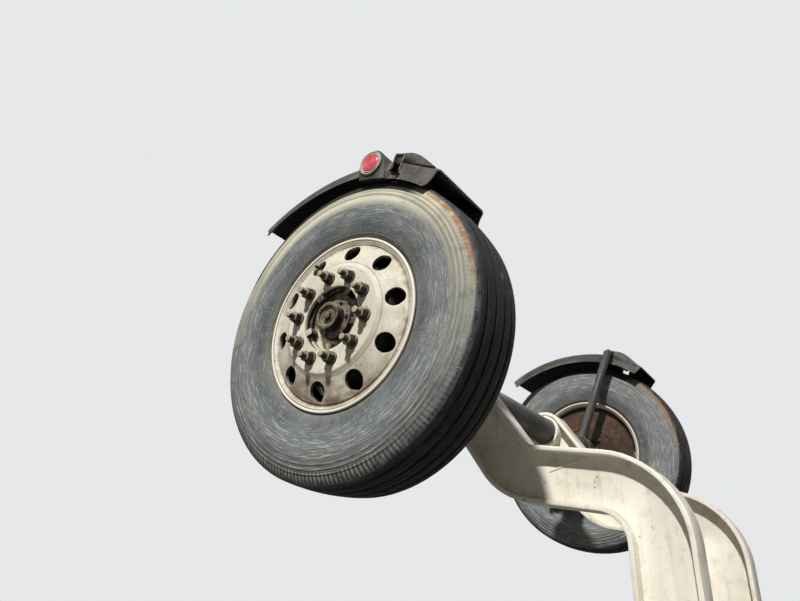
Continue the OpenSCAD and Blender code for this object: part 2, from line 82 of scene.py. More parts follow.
def add(tree, kind, sockets=None, stops=None, **settings):
    """Adds a shader node with its settings, its ramp's stops, and its inputs as links or values."""
    made = tree.nodes.new("ShaderNode" + kind)
    for name, value in settings.items():
        setattr(made, name, value)
    if stops:
        ramp = made.color_ramp.elements
        while len(ramp) < len(stops):
            ramp.new(1.0)
        for stop, (place, code) in zip(ramp, stops):
            stop.position = place
            stop.color = colour(code)
    for name, value in (sockets or {}).items():
        if isinstance(value, bpy.types.NodeSocket):
            tree.links.new(value, made.inputs[name])
        else:
            made.inputs[name].default_value = value
    return made


def new_material(name):
    """Starts an empty material and gives its tree, its shader and its Object coordinates."""
    material = bpy.data.materials.new(name)
    material.use_nodes = True
    tree = material.node_tree
    tree.nodes.clear()
    shader = add(tree, "BsdfPrincipled")
    add(tree, "OutputMaterial", {"Surface": shader.outputs[0]})
    return material, tree, shader, add(tree, "TexCoord").outputs["Object"]


def scaled(mask, *shares):
    """A mask times its shares, each a number or another mask. A socket's id_data is the tree that it is in."""
    for share in shares:
        mask = add(mask.id_data, "Math", {0: mask, 1: share}, operation="MULTIPLY").outputs[0]
    return mask


def strongest(mask, *others):
    """The strongest of some masks at each point."""
    for other in others:
        mask = add(mask.id_data, "Math", {0: mask, 1: other}, operation="MAXIMUM").outputs[0]
    return mask


def coated(under, *coats):
    """Lays coats of colour over a first one, each through its own mask and at its own strength."""
    for mask, strength, over in coats:
        tree = mask.id_data
        mix = add(tree, "Mix", {0: scaled(mask, strength)}, data_type="RGBA")
        for index, value in ((6, under), (7, over)):
            if isinstance(value, bpy.types.NodeSocket):
                tree.links.new(value, mix.inputs[index])
            else:
                mix.inputs[index].default_value = colour(value)
        under = mix.outputs[2]
    return under


def painted(shader, tone, roughness, worn=None, mask=None):
    """Gives the shader its colour and its roughness, which is another one where a mask says that it is worn."""
    tree = shader.id_data
    tree.links.new(tone, shader.inputs["Base Color"])
    if mask is None:
        shader.inputs["Roughness"].default_value = roughness
    else:
        gloss = add(tree, "MapRange", {"Value": mask, "To Min": roughness, "To Max": worn}).outputs[0]
        tree.links.new(gloss, shader.inputs["Roughness"])


def paint_floor():
    """Matt floor paint: pale to the eye, with a faint roller texture. It throws up no more light than dusty
    ground does, so that the undersides stay as dark as in the photograph."""
    material, tree, shader, where = new_material("matt_floor_paint")
    cloud = add(tree, "TexNoise", {"Vector": where, "Scale": 0.7, "Detail": 3.0}).outputs["Fac"]
    tone = add(tree, "ValToRGB", {"Fac": cloud}, stops=[(0.3, "#dcdcda"), (0.7, "#e4e4e2")]).outputs[0]
    seen = add(tree, "LightPath").outputs["Is Camera Ray"]
    painted(shader, coated("#676663", (seen, 1.0, tone)), 0.85)
    return material


floor_shape = bmesh.new()
bmesh.ops.create_grid(floor_shape, x_segments=2, y_segments=2, size=floor_reach)
bmesh.ops.translate(floor_shape, vec=(0, 0, ground), verts=floor_shape.verts)
floor_mesh = bpy.data.meshes.new("floor")
floor_shape.to_mesh(floor_mesh)
floor_shape.free()
floor = bpy.data.objects.new("floor", floor_mesh)
floor.data.materials.append(paint_floor())
bpy.context.scene.collection.objects.link(floor)

world = bpy.data.worlds.new("dome")
world.use_nodes = True
bpy.context.scene.world = world
air = world.node_tree
air.nodes.clear()
ray = add(air, "LightPath").outputs
seen = strongest(ray["Is Camera Ray"], ray["Is Glossy Ray"], ray["Is Transmission Ray"])
strength = add(air, "MapRange", {"Value": seen, "To Min": room_strength, "To Max": 1.0}).outputs[0]
sky = add(air, "Background", {"Color": colour("#e6e8ea"), "Strength": strength})
add(air, "OutputWorld", {"Surface": sky.outputs[0]})

for name, energy, softness, source in lamps:
    lamp = bpy.data.lights.new(name, "SUN")
    lamp.energy = energy
    lamp.angle = math.radians(softness)
    holder = bpy.data.objects.new(name, lamp)
    holder.rotation_euler = source.to_track_quat("Z", "Y").to_euler()
    bpy.context.scene.collection.objects.link(holder)
bpy.context.scene.view_settings.view_transform = "Standard"

# Hanger
# The mounting plate with its box beam, and the four cheeks that hold the pivot pins: mild steel plate,
# flame cut, fillet welded and sprayed with the truck's cream enamel, now chalky and filmed with cement dust.
weld_leg = 0.009
plate_edge = 0.002
merge_gap = 0.00003
flat_within = math.radians(1.5)
sharp_corner = math.radians(38)
sides = (("right", -1), ("left", 1))


def patches(where, size, low, high, detail=7.0, roughness=0.6):
    """Mask of ragged patches of about the given size in metres, between two levels of noise."""
    tree = where.id_data
    noise = add(tree, "TexNoise", {"Vector": where, "Scale": 1 / size, "Detail": detail, "Roughness": roughness})
    return add(
        tree, "MapRange", {"Value": noise.outputs["Fac"], "From Min": low, "From Max": high},
        interpolation_type="SMOOTHSTEP",
    ).outputs[0]


def upward(tree, low=0.25, high=0.9):
    """Mask of the faces that look up, where dust settles. It stays with the piece when it moves."""
    normal = add(tree, "TexCoord").outputs["Normal"]
    height = add(tree, "SeparateXYZ", {0: normal}).outputs["Z"]
    return add(tree, "MapRange", {"Value": height, "From Min": low, "From Max": high}).outputs[0]


def roughened(shader, where, size, detail, depth, chips=None):
    """Gives the shader a bump of fine noise, its size and depth in metres, with any chips sunk in it. The real
    grains are finer than this noise, which is drawn as coarse as it needs to show."""
    tree = where.id_data
    height = add(tree, "TexNoise", {"Vector": where, "Scale": 1 / size, "Detail": detail}).outputs["Fac"]
    if chips is not None:
        height = add(tree, "Math", {0: height, 1: scaled(chips, -0.8)}, operation="ADD").outputs[0]
    bump = add(tree, "Bump", {"Height": height, "Distance": depth, "Strength": 1.0})
    tree.links.new(bump.outputs[0], shader.inputs["Normal"])


def cream_enamel():
    """Sprayed alkyd enamel over steel: chalky cream with a grey cement film, stains and small rust spots."""
    material, tree, shader, where = new_material("cream_enamel")
    run_down = add(tree, "Mapping", {"Vector": where, "Scale": (1.0, 1.0, 0.12)}).outputs[0]
    film = patches(where, 0.28, 0.40, 0.62)
    stains = patches(where, 0.05, 0.50, 0.75)
    streaks = patches(run_down, 0.03, 0.50, 0.72)
    chips = scaled(patches(where, 0.014, 0.62, 0.67, 9.0), patches(where, 0.16, 0.50, 0.62))
    tone = coated(
        "#efe9d9",
        (film, 0.55, "#cfc7b1"),
        (stains, 0.40, "#9d927a"),
        (streaks, 0.32, "#ab9f86"),
        (upward(tree), patches(where, 0.09, 0.30, 0.62), "#a0967f"),
        (chips, 1.0, "#74492b"),
    )
    painted(shader, tone, 0.48, 0.85, film)
    roughened(shader, where, 0.006, 6.0, 0.0006, chips)
    return material


def bevelled(shape, geom, offset, segments=2, affect="EDGES"):
    """Rounds some of a shape's edges or corners."""
    bmesh.ops.bevel(
        shape, geom=geom, offset=offset, segments=segments, profile=0.5,
        affect=affect, clamp_overlap=True, material=-1,
    )
    return shape


def from_frame(node, edge=plate_edge, weld=0.0):
    """Copies a CAD node, rounds its outer edges and lays fillet welds in its inner corners."""
    shape = bmesh.new()
    shape.from_mesh(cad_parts[node].data)
    bmesh.ops.remove_doubles(shape, verts=shape.verts, dist=merge_gap)
    bmesh.ops.dissolve_limit(shape, angle_limit=flat_within, verts=shape.verts, edges=shape.edges)
    for leg, way in ((weld, -1), (edge, 1)):
        corners = [e for e in shape.edges if e.is_manifold and way * e.calc_face_angle_signed() > sharp_corner]
        if leg and corners:
            bevelled(shape, corners, leg)
    return shape


def piece(shape, name, body, material, replaces=()):
    """Makes the finished object of a shape, riding on its body."""
    mesh = bpy.data.meshes.new(name)
    shape.to_mesh(mesh)
    shape.free()
    mesh.shade_smooth()
    mesh.set_sharp_from_angle(angle=sharp_corner)
    made = bpy.data.objects.new(name, mesh)
    made.data.materials.append(material)
    bpy.context.scene.collection.objects.link(made)
    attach(made, body)
    if replaces:
        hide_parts(*replaces)


def worked(node, finish, body, material, slot, **how):
    """Makes the piece that stands for a CAD node in the node's own shape."""
    piece(from_frame(node, **how), f"{node}_{finish}", body, material, [node])


enamel = cream_enamel()
for node in ("hanger_beam", "hanger_cheeks_right", "hanger_cheeks_left"):
    worked(node, "welded", "frame_hanger", enamel, "arm_paint", weld=weld_leg)

# Pivot pins
# Turned steel pins with a head at their outboard end and a collar at the other. Rain has rusted them
# dark brown, and cement dust sits on the rust.
turned_edge = 0.003


def rusty_iron():
    """Bare iron and steel: dark brown rust with ochre bloom, black where oil keeps it wet, and dust on top."""
    material, tree, shader, where = new_material("rusty_iron")
    bloom = patches(where, 0.045, 0.42, 0.66)
    oily = patches(where, 0.12, 0.52, 0.66)
    settled = scaled(upward(tree), patches(where, 0.06, 0.32, 0.60))
    tone = coated(
        "#38291f",
        (bloom, 1.0, "#5a3d29"),
        (oily, 0.8, "#1d1815"),
        (settled, 0.85, "#857a66"),
    )
    painted(shader, tone, 0.85, 0.45, oily)
    shader.inputs["Metallic"].default_value = 0.15
    roughened(shader, where, 0.004, 8.0, 0.0009)
    return material


rust = rusty_iron()
for side, _ in sides:
    worked(f"pivot_pin_{side}", "turned", "frame_hanger", rust, "bare_iron", edge=turned_edge)

# Arms
# Two swan-neck arms of welded I section: a web plate between wide flanges, bent to the neck's curve.
# The web is in two plates, and the seam between them is ground nearly flush where it crosses the knee.
wheel_axis = Vector((-0.927, 0, 1.5))
half_track = 1.08
arm_web = 0.445
web_face = 0.007
seam_from = (0.372, -0.372)
seam_to = (0.492, -0.338)
seam_width = 0.006


def bead(start, end, radius):
    """A weld bead: a slim rod from start to end, with half of it sunk in the plate."""
    shape = bmesh.new()
    way = end - start
    bmesh.ops.create_cone(
        shape, cap_ends=True, segments=8, radius1=radius, radius2=radius, depth=way.length,
        matrix=Matrix.Translation((start + end) / 2) @ way.to_track_quat("Z", "Y").to_matrix().to_4x4(),
    )
    return shape


def take_in(shape, other):
    """Adds another shape to a shape and frees the other."""
    held = bpy.data.meshes.new("held")
    other.to_mesh(held)
    other.free()
    shape.from_mesh(held)
    bpy.data.meshes.remove(held)


for side, sign in sides:
    node = f"arm_{side}"
    arm = from_frame(node, weld=weld_leg)
    face = sign * (arm_web + web_face)
    take_in(arm, bead(*(wheel_axis + Vector((x, face, z)) for x, z in (seam_from, seam_to)), seam_width / 2))
    piece(arm, f"{node}_welded", "swing_frame", enamel, [node])

# Cross tube and lift levers
# A round tube joins the two arms, and a flame-cut lever on each arm takes the lift cylinder's pin.
# They are welded to the arms and carry the same enamel.
lever_edge = 0.003
for node in ("cross_tube", "lift_lever_right", "lift_lever_left"):
    worked(node, "welded", "swing_frame", enamel, "arm_paint", edge=lever_edge)

# Axle beam
# A thick-walled round tube across the truck, with the spindles pressed and welded into its ends.
# Chassis black, with road dust on its upper side.


def chassis_black():
    """Chassis paint: satin black, greyed by dust and scuffed to primer here and there."""
    material, tree, shader, where = new_material("chassis_black")
    haze = patches(where, 0.15, 0.35, 0.68)
    scuffs = patches(where, 0.02, 0.62, 0.68)
    settled = scaled(upward(tree, 0.1, 0.85), patches(where, 0.05, 0.28, 0.60))
    tone = coated(
        "#1c1c1d",
        (haze, 0.55, "#4b4740"),
        (scuffs, 0.7, "#5c4030"),
        (settled, 0.85, "#857b6a"),
    )
    painted(shader, tone, 0.42, 0.8, haze)
    roughened(shader, where, 0.005, 5.0, 0.0004)
    return material


chassis = chassis_black()
worked("axle_beam", "painted", "swing_frame", chassis, "axle_paint")

# Spindles and slack adjusters
# Forged steel spindles pressed into the beam's ends, and slack adjusters of cast iron on the brake camshafts.
for side, _ in sides:
    for part in ("spindle", "slack_adjuster"):
        worked(f"{part}_{side}", "forged", "swing_frame", rust, "bare_iron")

# Tyre
# A ribbed trailer tyre of natural and butyl rubber on a steel casing, moulded and cured. Four straight
# grooves part five ribs, rings stand on its upper sidewall, fine flutes run round its shoulders, and sipes
# filled with caked dust cut into their edges.
tyre_r = 522
tread_half = 107
tread_drop = 7
grooves = (-73, -26, 26, 73)
# Corners of a groove: station from its middle, depth and rounding
groove_section = ((-5.5, 0, 1.2), (-3, 11, 1.5), (3, 11, 1.5), (5.5, 0, 1.2))
tyre_steps = 288
flute_count = 200
flute_ends = ((488, 125.1), (504, 115.6))
flute_size = (3.2, 1.8)
sipe_count = 38
sipe_ends = ((499.5, 118.8), (511.5, 109.6))
sipe_size = (2.2, 1.2)
sipe_ahead = 8
line_phase = 1065.0  # radians to a metre across the tread, which makes a worn line every 5.9 mm
cavity_top = 498

# The outer side of one half of the casing: radius, station and rounding, from the bead's toe to the tread
half_casing = [
    (280.4, 80.8, 2), (286.1, 102.2, 2), (288.4, 104.5, 1), (300.5, 104.6, 3), (309.5, 118.6, 3),
    (313, 121.6, 1.5), (317, 122.2, 1.5), (320, 124.6, 1.5), (347, 133, 12), (372, 136.8, 20),
    (410, 139.6, 20), (440, 138.9, 3), (442, 137.6, 1), (452, 136.6, 2), (453.5, 138, 1), (457, 137.4, 1),
    (459, 135.2, 1), (466, 133.8, 1), (468, 134.8, 1), (471, 133.8, 1), (473, 131.4, 1), (480, 128.6, 1),
    (482, 129.4, 1), (485, 128, 1), (487, 125.4, 1), (497, 121, 4), (507, 113.5, 5), (514.6, 107.2, 3),
]
half_cavity = [(286.1, 78), (330, 116), (410, 126), (470, 117), (494, 90)]


def moved(shape, matrix):
    """Moves, turns or scales a whole shape."""
    bmesh.ops.transform(shape, matrix=matrix, verts=shape.verts)
    return shape


def place(shape, sign):
    """Moves a shape from a wheel's own frame, in millimetres with y outboard, to its side of the truck."""
    corner = Vector((wheel_axis.x, sign * half_track, wheel_axis.z))
    moved(shape, Matrix.Translation(corner) @ Matrix.Diagonal((0.001, sign * 0.001, 0.001, 1)))
    bmesh.ops.recalc_face_normals(shape, faces=shape.faces)
    return shape


def wire(points, closed=True):
    """Draws (radius, station, rounding) points as a wire and rounds its corners."""
    shape = bmesh.new()
    corners = [(shape.verts.new((r, w, 0)), rounding) for r, w, rounding in points]
    verts = [vert for vert, _ in corners]
    for a, b in zip(verts, verts[1:] + verts[:1] if closed else verts[1:]):
        shape.edges.new((a, b))
    for radius in sorted({rounding for _, rounding in corners if rounding}):
        bevelled(shape, [vert for vert, rounding in corners if rounding == radius], radius, 3, "VERTICES")
    return shape


def spun(shape, steps):
    """Spins a wire round the wheel's axis."""
    bmesh.ops.spin(
        shape, geom=shape.verts[:] + shape.edges[:], cent=(0, 0, 0), axis=(0, 1, 0), dvec=(0, 0, 0),
        angle=2 * math.pi, steps=steps, use_merge=True, use_normal_flip=False, use_duplicate=False,
    )
    bmesh.ops.remove_doubles(shape, verts=shape.verts, dist=0.01)
    bmesh.ops.recalc_face_normals(shape, faces=shape.faces)
    return shape


def copies(shape, count):
    """Repeats a shape at even steps round the wheel's axis."""
    bmesh.ops.spin(
        shape, geom=shape.verts[:] + shape.edges[:] + shape.faces[:], cent=(0, 0, 0), axis=(0, 1, 0),
        dvec=(0, 0, 0), angle=2 * math.pi * (count - 1) / count, steps=count - 1,
        use_merge=False, use_normal_flip=False, use_duplicate=True,
    )
    return shape


def bar(start, end, width, height):
    """A slim straight bar between two points, with its edges rounded."""
    shape = bmesh.new()
    way = end - start
    bmesh.ops.create_cube(shape, size=1.0)
    bmesh.ops.scale(shape, vec=(width, height, way.length), verts=shape.verts)
    bevelled(shape, shape.edges[:], min(width, height) * 0.3, 1)
    turn = way.to_track_quat("Z", "X").to_matrix().to_4x4()
    return moved(shape, Matrix.Translation((start + end) / 2) @ turn)


def tread_height(w):
    """Radius of the tread at a station: a shallow crown."""
    return tyre_r - tread_drop * (w / tread_half) ** 2


def tyre_shape():
    """The casing with its grooves, beads and inner cavity, spun from one closed section."""
    tread = [
        (tread_height(groove + away) - depth, groove + away, rounding)
        for groove in grooves for away, depth, rounding in groove_section
    ]
    tread.insert(len(tread) // 2, (tread_height(0), 0, 0))
    inboard = [(r, -w, rounding) for r, w, rounding in half_casing]
    cavity = half_cavity + [(cavity_top, 0)] + [(r, -w) for r, w in half_cavity[::-1]]
    section = inboard + tread + half_casing[::-1] + [(r, w, 0) for r, w in cavity]
    return spun(wire(section), tyre_steps)


def about_wheel(where):
    """A point's place about its own wheel: radius, station, angle, and its direction from the axis."""
    tree = where.id_data
    from_axis = add(tree, "VectorMath", {0: where, 1: wheel_axis}, operation="SUBTRACT").outputs[0]
    parts = add(tree, "SeparateXYZ", {0: from_axis}).outputs
    reach = add(tree, "Math", {0: parts["Y"]}, operation="ABSOLUTE").outputs[0]
    station = add(tree, "Math", {0: reach, 1: half_track}, operation="SUBTRACT").outputs[0]
    flat = add(tree, "CombineXYZ", {"X": parts["X"], "Z": parts["Z"]}).outputs[0]
    radius = add(tree, "VectorMath", {0: flat}, operation="LENGTH").outputs["Value"]
    angle = add(tree, "Math", {0: parts["Z"], 1: parts["X"]}, operation="ARCTAN2").outputs[0]
    return radius, station, angle, add(tree, "VectorMath", {0: flat}, operation="NORMALIZE").outputs[0]


def band(value, low, high, fade):
    """Mask of the values between two bounds, with soft ends."""
    tree = value.id_data
    rise = add(tree, "MapRange", {"Value": value, "From Min": low - fade, "From Max": low + fade}).outputs[0]
    fall = add(tree, "MapRange", {"Value": value, "From Min": high + fade, "From Max": high - fade}).outputs[0]
    return scaled(rise, fall)


def sector(angle, start, end, fade):
    """Mask of the part of a wheel between two angles in degrees, with soft ends."""
    return band(angle, *(math.radians(value) for value in (start, end, fade)))


def rubbed(heading, radius, turn, length, low, high, detail=4.0):
    """Mask of marks round a wheel: turn is their size in radians round it, length their size outwards."""
    tree = radius.id_data
    stretched = add(tree, "CombineXYZ", {"Y": scaled(radius, turn / length)}).outputs[0]
    where = add(tree, "VectorMath", {0: heading, 1: stretched}, operation="ADD").outputs[0]
    return patches(where, turn, low, high, detail, 0.65)


def tyre_rubber():
    """Cured black rubber. Dust greys its sidewall, rubbed off in marks round the wheel, and lies as a cream film on
    the upper half, where one smear is rusty. The mudguard's shadow is painted near black on the upper shoulder, and
    painted shade darkens the lower sidewall and the ring grooves. The tread stays black, with worn lines and dusty
    edges on its ribs. Bands are radii in metres."""
    material, tree, shader, where = new_material("tyre_rubber")
    radius, station, angle, heading = about_wheel(where)
    ringed = add(tree, "CombineXYZ", {"X": radius}).outputs[0]
    outboard = add(tree, "MapRange", {"Value": station, "From Min": 0.08, "From Max": 0.10}).outputs[0]
    above, below = sector(angle, -5, 172, 30), sector(angle, -150, -45, 25)
    sidewall = band(radius, 0.30, 0.5035, 0.003)
    near_rim = band(radius, 0.29, 0.325, 0.014)
    # Painted shade: the lower part of the sidewall is darker.
    painted_low_shade = scaled(band(radius, 0.43, 0.508, 0.014), below)
    dull = scaled(sidewall, rubbed(heading, radius, 0.50, 0.05, 0.42, 0.62, 8.0))
    slate = scaled(band(radius, 0.29, 0.372, 0.028), patches(where, 0.14, 0.34, 0.58))
    scuffs = rubbed(heading, radius, 0.09, 0.0045, 0.50, 0.64, 7.0)
    scuffs = scaled(sidewall, scuffs, patches(where, 0.06, 0.36, 0.62))
    streaks = rubbed(heading, radius, 0.010, 0.030, 0.50, 0.66)
    streaks = scaled(sidewall, streaks, patches(where, 0.07, 0.42, 0.62))
    scars = rubbed(heading, radius, 0.16, 0.0024, 0.54, 0.60)
    scars = scaled(scars, band(radius, 0.36, 0.50, 0.02))
    film = scaled(band(radius, 0.438, 0.53, 0.012), sidewall, outboard, above)
    worn_film = scaled(film, patches(where, 0.05, 0.26, 0.52, 8.0, 0.65))
    crown = scaled(sector(angle, 40, 150, 18), band(radius, 0.420, 0.53, 0.014))
    crown = scaled(crown, outboard, sidewall, patches(where, 0.06, 0.18, 0.46, 8.0, 0.65))
    rings = scaled(film, patches(ringed, 0.0042, 0.48, 0.62, 2.0))
    rings = scaled(rings, patches(where, 0.09, 0.34, 0.56))
    recesses = ((0.4425, 0.4522), (0.4592, 0.4664), (0.4732, 0.4804))
    # Painted shade in the grooves between the sidewall's rings.
    painted_groove_shade = strongest(*(band(radius, inner, outer, 0.0008) for inner, outer in recesses))
    gaps = scaled(below, band(radius, 0.478, 0.508, 0.006), outboard)
    wave = add(tree, "Math", {0: scaled(angle, float(flute_count))}, operation="SINE").outputs[0]
    flutes = add(tree, "MapRange", {"Value": wave, "From Min": -0.3, "From Max": 0.4}).outputs[0]
    flutes = scaled(flutes, gaps, patches(where, 0.04, 0.30, 0.55))
    # The mudguard's shadow on the upper shoulder, painted near black.
    painted_guard_shadow = scaled(sector(angle, 52, 152, 4), band(radius, 0.4705, 0.53, 0.002))
    shoulder = scaled(band(radius, 0.504, 0.5165, 0.002), outboard)
    shoulder = scaled(shoulder, patches(where, 0.02, 0.3, 0.6))
    edges = rubbed(heading, station, 0.25, 0.0024, 0.54, 0.64)
    edges = scaled(edges, band(radius, 0.507, 0.54, 0.002), patches(where, 0.05, 0.38, 0.60))
    wave = add(tree, "Math", {0: scaled(station, line_phase)}, operation="SINE").outputs[0]
    lines = add(tree, "MapRange", {"Value": wave, "From Min": 0.55, "From Max": 0.95}).outputs[0]
    lines = scaled(lines, band(radius, 0.5135, 0.54, 0.001), patches(where, 0.06, 0.30, 0.60))
    smear = scaled(sector(angle, 4, 52, 7), band(radius, 0.490, 0.507, 0.004))
    smear = scaled(smear, patches(where, 0.03, 0.34, 0.56, 9.0, 0.7))
    tone = coated(
        "#0e0e10",
        (patches(where, 0.008, 0.48, 0.70, 9.0), 0.16, "#2f2c29"),
        (edges, 0.40, "#857864"),
        (lines, 0.55, "#5b564d"),
        (shoulder, 0.75, "#474b50"),
        (sidewall, 0.94, "#727675"),
        (dull, 0.50, "#5c605f"),
        (slate, 0.75, "#464b4e"),
        (near_rim, 0.40, "#857c6e"),
        (painted_low_shade, 0.45, "#4e5152"),
        (scuffs, 0.44, "#a5a9a3"),
        (streaks, 0.46, "#9fa29c"),
        (worn_film, 0.80, "#c4bda6"),
        (crown, 0.92, "#dfd7bd"),
        (scars, 0.75, "#babaae"),
        (rings, 0.75, "#7d7a6d"),
        (scaled(painted_groove_shade, outboard), 0.40, "#5b5c56"),
        (gaps, 0.75, "#303234"),
        (flutes, 0.75, "#9b9889"),
        (smear, 0.85, "#92693f"),
        # painted shadow of the mudguard on the shoulder
        (painted_guard_shadow, 0.96, "#080809"),
    )
    painted(shader, tone, 0.85)
    shader.inputs["Specular IOR Level"].default_value = 0.3
    roughened(shader, where, 0.003, 6.0, 0.0006)
    return material


def caked_dust_and_highlight():
    """Pale, matt and crumbly dust packed hard into the shoulder's sipes, and the same pale colour as a painted
    highlight round the tunnel's mouth.
    """
    material, _, shader, where = new_material("caked_dust_and_highlight")
    clods = patches(where, 0.01, 0.35, 0.65)
    painted(shader, coated("#a8a394", (clods, 1.0, "#6b6860")), 0.95)
    return material


rubber = tyre_rubber()
# The same pale material also makes the painted highlight round the mudguard tunnel's mouth.
dust = caked_dust_and_highlight()
for side, sign in sides:
    tyre = tyre_shape()
    sipes = bmesh.new()
    for face in (1, -1):
        flute = bar(*(Vector((r, face * w, 0)) for r, w in flute_ends), *flute_size)
        take_in(tyre, copies(flute, flute_count))
        sipe = bar(*(Vector((r, face * w, sipe_ahead)) for r, w in sipe_ends), *sipe_size)
        take_in(sipes, copies(sipe, sipe_count))
    piece(place(tyre, sign), f"tyre_{side}_moulded", f"wheel_{side}", rubber, [f"tyre_{side}"])
    piece(place(sipes, sign), f"sipes_{side}_caked", f"wheel_{side}", dust)

# Rim
# The rim of a 22.5 inch disc wheel: rolled from steel strip, butt welded and flared, and painted off-white.
# Its outer flange's edge carries a painted highlight, near white.
rim_steps = 160
half_flange = [(285.75, 102.8, 2), (287.75, 104.8, 1.5), (293, 104.8, 3), (298.45, 108.8, 3), (298.45, 116.4, 2.2)]
front_lip = [
    (295.5, 117.8, 1.5), (290.5, 117.4, 1.2), (289.6, 114.6, 0.6), (287.6, 114.2, 0.6), (286.6, 115.4, 0.8),
    (281, 110.6, 2), (275.6, 108.2, 0.8), (275, 98, 2),
]
back_lip = [(292.45, 117.8, 2), (279.25, 104.8, 4)]
well = [(272.75, 60, 6), (272.75, 48, 6), (255.75, 34, 9), (255.75, -14, 12), (272.75, -60, 12)]
inner_well = [(266.25, -62, 12), (249.25, -16, 12), (249.25, 38, 9), (266.25, 50, 6), (266.25, 66, 8)]


def outward(where):
    """Mask of the faces that look outboard."""
    tree = where.id_data
    normal = add(tree, "TexCoord").outputs["Normal"]
    side = add(tree, "Math", {0: add(tree, "SeparateXYZ", {0: where}).outputs["Y"]}, operation="SIGN").outputs[0]
    facing = scaled(add(tree, "SeparateXYZ", {0: normal}).outputs["Y"], side)
    return add(tree, "MapRange", {"Value": facing, "From Min": 0.3, "From Max": 0.8}).outputs[0]


def rim_enamel():
    """Sprayed off-white wheel enamel, baked: brown brake dust in rings and corners, scuffs, and stone chips.
    Painted shade darkens the plateau's edge, the hand holes' walls, a groove inside the flange's edge and the
    disc's lower part, and a painted highlight lightens the flange's outer edge. Behind the disc, inside the rim,
    brake dust and painted shade make it near black."""
    material, tree, shader, where = new_material("rim_enamel")
    radius, station, angle, _ = about_wheel(where)
    # Near black behind the disc, inside the rim: brake dust, and painted shade too.
    behind = scaled(band(station, -0.3, 0.092, 0.012), band(radius, 0.1, 0.276, 0.003))
    # Painted shade: a dark line in the small groove just inside the flange's outer edge.
    painted_lip_groove_shade = scaled(band(radius, 0.2872, 0.2898, 0.0006), band(station, 0.1, 0.2, 0.005))
    # Painted highlight along the flange's outer edge.
    painted_rim_highlight = scaled(band(radius, 0.2902, 0.31, 0.0006), band(station, 0.106, 0.2, 0.003))
    # Painted shade along the edge of the disc's raised plateau.
    painted_crease_shade = band(radius, 0.1945, 0.1990, 0.0018)
    edge_on = add(tree, "Math", {0: 1.0, 1: outward(where)}, operation="SUBTRACT").outputs[0]
    # Painted shade on the faces between radii 200 and 272 mm that do not look outboard: the hand holes' walls.
    painted_hole_shade = scaled(edge_on, band(radius, 0.2, 0.2722, 0.001))
    # Painted shade on the lower part of the disc.
    painted_low_shade = scaled(sector(angle, -155, -55, 22), band(radius, 0.2, 0.284, 0.012))
    painted_low_shade = scaled(painted_low_shade, patches(where, 0.07, 0.30, 0.60))
    reach = add(tree, "MapRange", {"Value": radius, "From Min": 0.1, "From Max": 0.3}).outputs[0]
    grime = add(
        tree, "ValToRGB", {"Fac": reach},
        stops=[(0.0, "#b4b4b4"), (0.28, "#5a5a5a"), (0.46, "#505050"), (0.50, "#9c9c9c"), (0.62, "#606060"),
               (0.80, "#808080"), (0.87, "#f0f0f0"), (0.92, "#505050"), (1.0, "#202020")],
    ).outputs[0]
    stains = patches(where, 0.055, 0.36, 0.66)
    spots = patches(where, 0.010, 0.60, 0.68, 8.0)
    soft = patches(where, 0.14, 0.30, 0.70)
    tone = coated(
        "#e1dac6",
        (soft, 0.38, "#b8ae95"),
        (painted_low_shade, 0.85, "#857361"),
        (scaled(grime, stains), 0.85, "#85755a"),
        (scaled(grime, patches(where, 0.022, 0.45, 0.70)), 0.7, "#67533c"),
        (spots, 0.7, "#6f5740"),
        (scaled(upward(tree, 0.3, 1.0), soft), 0.5, "#958a71"),
        (painted_crease_shade, 0.55, "#6f6450"),
        (painted_hole_shade, 0.85, "#2b241c"),
        (painted_rim_highlight, 0.80, "#f1ebda"),
        (painted_lip_groove_shade, 0.80, "#453a2b"),
        (behind, 0.94, "#15120f"),
    )
    painted(shader, tone, 0.55, 0.85, stains)
    shine = add(tree, "MapRange", {"Value": behind, "To Min": 0.5, "To Max": 0.03}).outputs[0]
    tree.links.new(shine, shader.inputs["Specular IOR Level"])
    roughened(shader, where, 0.005, 6.0, 0.0004)
    return material


wheel_enamel = rim_enamel()
for side, sign in sides:
    front = half_flange + front_lip
    back = [(r, -w, rounding) for r, w, rounding in half_flange + back_lip]
    shape = spun(wire(front[::-1] + well + back + inner_well), rim_steps)
    piece(place(shape, sign), f"rim_{side}_rolled", f"wheel_{side}", wheel_enamel, [f"rim_{side}"])

# Disc
# A disc spun and pressed from 11 mm steel plate, with ten hand holes, welded into the rim and painted with it.
disc_face = 151.8
disc_t = 11
disc_edge = 1.4
bore_r = 110
hole_count = 10
hole_first = 78.3
hole_r = 235.5
hole_radius = 31
patch_in, patch_out = 198, 268
arc_cuts = 16
side_cuts = 8
cone_start = 194
cone_slope = 0.335
# The face's two steps: how far it drops, and the radii between which it does
disc_steps = ((9.5, 181, 196), (4.5, 254, 268))


def polar(radius, angle, station=0.0):
    """A point in a wheel's own frame, its angle in degrees from the front towards the top."""
    turn = math.radians(angle)
    return Vector((radius * math.cos(turn), station, radius * math.sin(turn)))


def dish(radius):
    """Station of the disc's face at a radius: flat where it is bolted on, dished towards the rim."""
    station = disc_face - cone_slope * max(0.0, radius - cone_start)
    for drop, start, end in disc_steps:
        share = min(1.0, max(0.0, (radius - start) / (end - start)))
        station -= drop * share * share * (3 - 2 * share)
    return station


